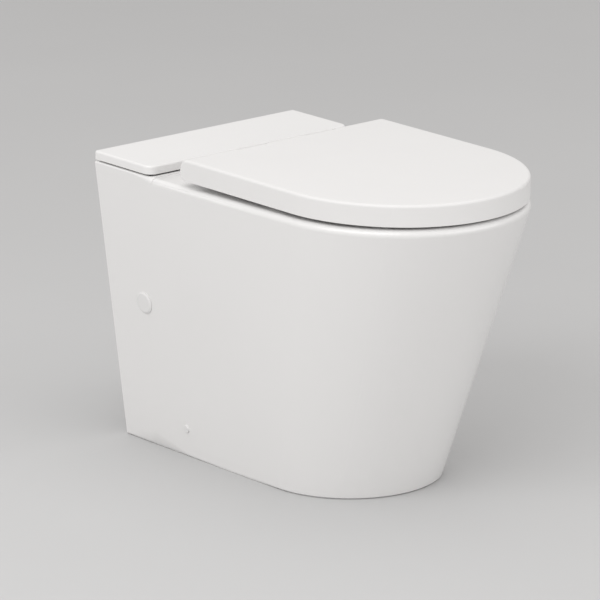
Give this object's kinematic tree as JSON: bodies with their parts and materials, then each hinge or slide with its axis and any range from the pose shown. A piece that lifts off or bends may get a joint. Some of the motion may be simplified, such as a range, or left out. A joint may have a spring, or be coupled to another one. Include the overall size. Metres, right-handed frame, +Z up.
{
  "type": "back to wall toilet",
  "caption": "Back to wall toilet pan with tapered skirt, open back, trap and outlet, under a wrap-over seat lid on rear hinges.",
  "frame": {"origin": "on the floor, under the middle of the pan's length, on its plane of symmetry", "axes": "+Z up, +Y towards the wall behind, -Y towards the nose, +X to the right seen from the nose"},
  "size_m": [0.3606, 0.6004, 0.4405],
  "materials": {
    "glaze": "smooth white glaze",
    "cover_glaze": "smooth white glaze",
    "seat_white": "moulded, glossy white",
    "trim_white": "moulded, satin white",
    "pipe_plastic": "moulded, matt",
    "rubber": "matt black rubber",
    "buffer": "pale grey rubber",
    "hinge_metal": "polished plate",
    "steel": "bright stainless",
    "nut_plastic": "moulded, matt"
  },
  "bodies": {
    "pan": {"pan_skirt": "glaze", "pan_bowl": "glaze", "pan_trap": "glaze", "pan_inlet": "glaze", "rear_cover": "cover_glaze", "side_plug_left": "trim_white", "side_plug_right": "trim_white", "screw_cap_left": "trim_white", "screw_cap_right": "trim_white", "flush_pipe": "pipe_plastic", "soil_connector": "pipe_plastic", "floor_bracket_left": "pipe_plastic", "floor_bracket_right": "pipe_plastic", "cover_gasket": "rubber", "flush_seal": "rubber", "soil_seal": "rubber", "hinge_washer_left": "rubber", "hinge_washer_right": "rubber", "hinge_pillar_left": "hinge_metal", "hinge_pillar_right": "hinge_metal", "hinge_bolt_left": "steel", "hinge_bolt_right": "steel", "hinge_pin_left": "steel", "hinge_pin_right": "steel", "fixing_screw_left": "steel", "fixing_screw_right": "steel", "hinge_nut_left": "nut_plastic", "hinge_nut_right": "nut_plastic"},
    "seat": {"seat_ring": "seat_white", "seat_buffers": "buffer"},
    "lid": {"lid": "seat_white", "lid_buffers": "buffer"}
  },
  "joints": [
    {"name": "seat_hinge", "type": "hinge", "parent": "pan", "child": "seat", "pos_m": [0, 0.107, 0.4235], "axis": [-1, 0, 0], "range_deg": [0, 105]},
    {"name": "lid_hinge", "type": "hinge", "parent": "pan", "child": "lid", "pos_m": [0, 0.107, 0.4235], "axis": [-1, 0, 0], "range_deg": [0, 105]}
  ],
  "couplings": [
    {"joint": "lid_hinge", "follows": "seat_hinge", "ratio": 1}
  ]
}
